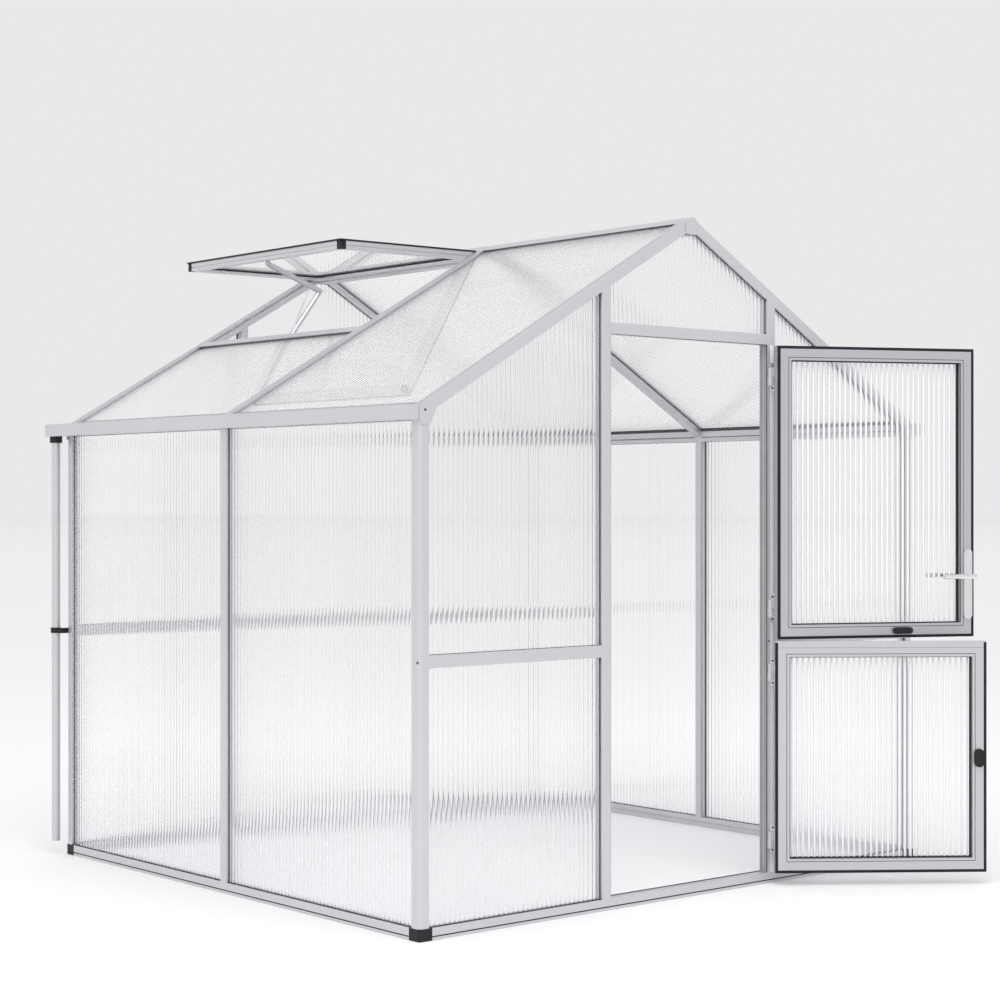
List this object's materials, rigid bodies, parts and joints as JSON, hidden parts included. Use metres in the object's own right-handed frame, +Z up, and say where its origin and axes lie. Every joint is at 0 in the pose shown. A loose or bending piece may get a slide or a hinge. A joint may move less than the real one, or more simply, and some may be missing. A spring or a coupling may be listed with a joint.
{
  "type": "polycarbonate greenhouse",
  "caption": "Gable-roofed garden greenhouse of aluminium bars and hollow clear sheets, with a two-leaf stable door, an open roof vent, gutters and downpipes.",
  "frame": {"origin": "middle of the front sill's underside, at ground level below the doorway's centre", "axes": "+X to the right seen from the front, +Y from the door to the back wall, +Z up"},
  "size_m": [2.452, 2.766, 2.3058],
  "materials": {
    "aluminium": "satin anodised",
    "sheet": "clear hollow polycarbonate sheet",
    "black_plastic": "moulded",
    "gasket": "matt",
    "handle": "bright satin"
  },
  "bodies": {
    "house": {"front_sill": "aluminium", "back_sill": "aluminium", "side_sills": "aluminium", "corner_posts": "aluminium", "door_jamb_left": "aluminium", "door_jamb_right": "aluminium", "back_mullions": "aluminium", "front_rails": "aluminium", "back_rails": "aluminium", "door_lintel": "aluminium", "side_mullions": "aluminium", "eave_beams": "aluminium", "rafters": "aluminium", "roof_bars": "aluminium", "ridge_beam": "aluminium", "eave_corner_plates": "aluminium", "gutters": "aluminium", "downpipes": "aluminium", "vent_trimmer": "aluminium", "vent_sash_rails": "aluminium", "jamb_hinges": "aluminium", "vent_opener": "aluminium", "front_wall_sheets": "sheet", "front_gable_sheet": "sheet", "back_wall_sheets": "sheet", "left_wall_sheets": "sheet", "right_wall_sheets": "sheet", "left_roof_sheets": "sheet", "right_roof_sheets": "sheet", "vent_sheet": "sheet", "base_corner_caps": "black_plastic", "downpipe_fittings": "black_plastic", "vent_corner_pieces": "black_plastic"},
    "upper_leaf": {"upper_leaf_stiles": "aluminium", "upper_leaf_rails": "aluminium", "upper_leaf_sheet": "sheet", "upper_leaf_gasket": "gasket", "upper_leaf_hinges": "aluminium", "handle_plates": "handle", "upper_leaf_latch": "black_plastic"},
    "lower_leaf": {"lower_leaf_stiles": "aluminium", "lower_leaf_rails": "aluminium", "lower_leaf_sheet": "sheet", "lower_leaf_gasket": "gasket", "lower_leaf_hinges": "aluminium", "lower_leaf_latch": "black_plastic"},
    "lever": {"lever_handle": "handle"}
  },
  "joints": [
    {"name": "upper_leaf_swing", "type": "hinge", "parent": "house", "child": "upper_leaf", "pos_m": [0.3805, -0.031, 1.4], "axis": [0, 0, 1], "range_deg": [-153.5, 11.5]},
    {"name": "lower_leaf_swing", "type": "hinge", "parent": "house", "child": "lower_leaf", "pos_m": [0.3805, -0.031, 0.45], "axis": [0, 0, 1], "range_deg": [-142, 23]},
    {"name": "lever_turn", "type": "hinge", "parent": "upper_leaf", "child": "lever", "pos_m": [1.01773, -0.38335, 1.075], "axis": [-0.4462, -0.8949, 0], "range_deg": [0, 40], "stiffness_Nm_per_rad": 0.6, "springref_deg": -28.65}
  ]
}
